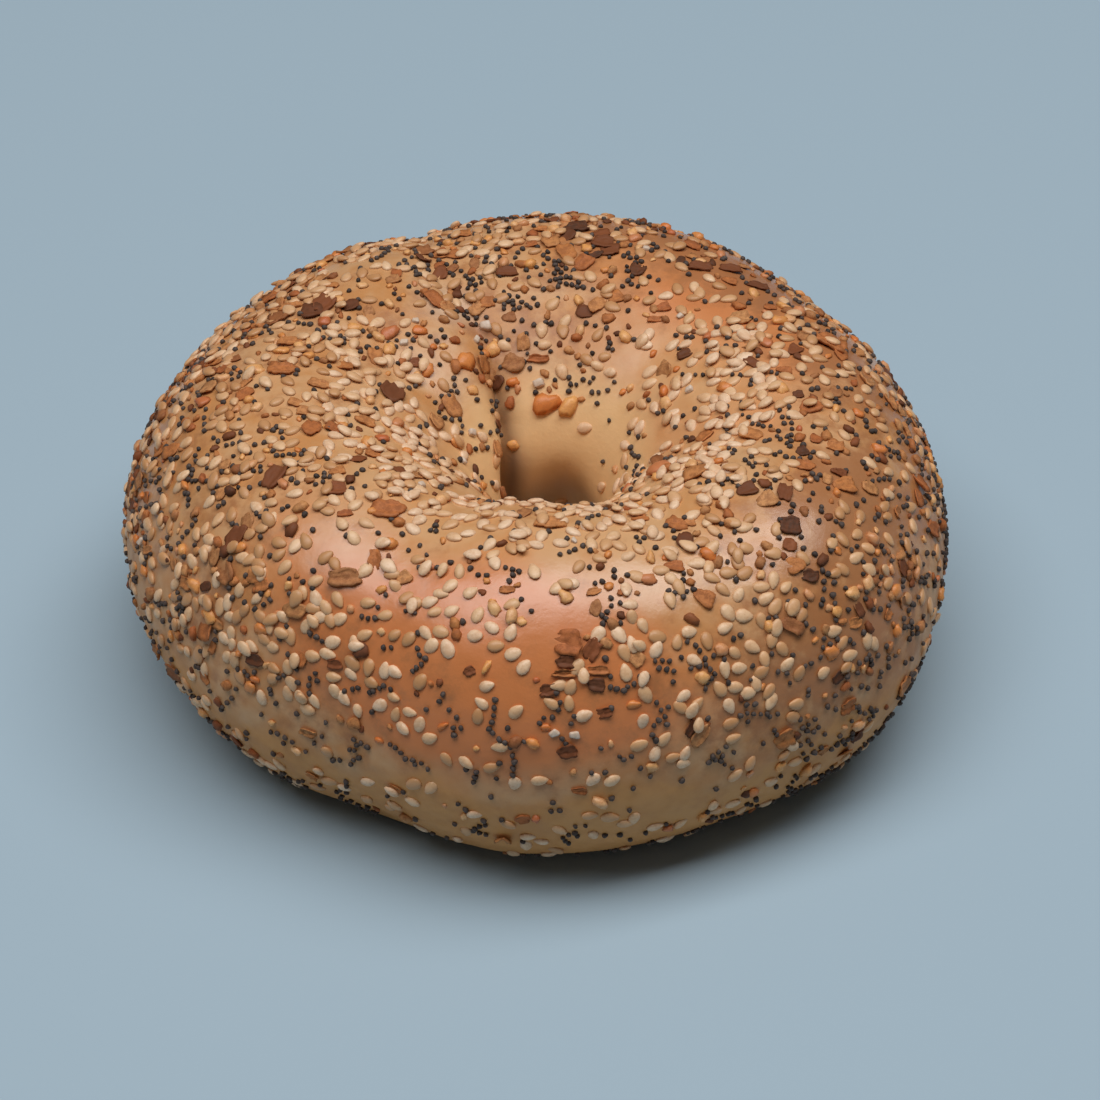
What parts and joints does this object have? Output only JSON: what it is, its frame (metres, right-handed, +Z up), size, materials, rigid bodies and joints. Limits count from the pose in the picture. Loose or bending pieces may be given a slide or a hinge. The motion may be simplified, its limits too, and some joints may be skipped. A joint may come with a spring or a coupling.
{
  "type": "bagel",
  "caption": "Whole hand-rolled bagel, a thick uneven ring of golden crust around a small hole, coated with sesame, poppy, onion, garlic and salt.",
  "frame": {"origin": "on the surface the bagel lies on, under the middle of its outline", "axes": "+Z up through the hole, -Y towards the front, +X to the right with the joint of the dough behind the hole on the left"},
  "size_m": [0.122, 0.1182, 0.0481],
  "materials": {
    "crust": "boiled and baked crust, softly glossy, golden brown above and pale near the table",
    "sesame": "hulled sesame seed, cream to toasted tan, satin",
    "poppy": "poppy seed, dark slate brown to nearly black, dull",
    "onion": "dried onion flake, toasted pinkish brown to nearly black, ridged",
    "garlic": "dried garlic granule, amber to orange, slightly waxy",
    "salt": "coarse salt crystal, cloudy cream white"
  },
  "bodies": {
    "root": {"bagel": "crust"}
  },
  "joints": []
}
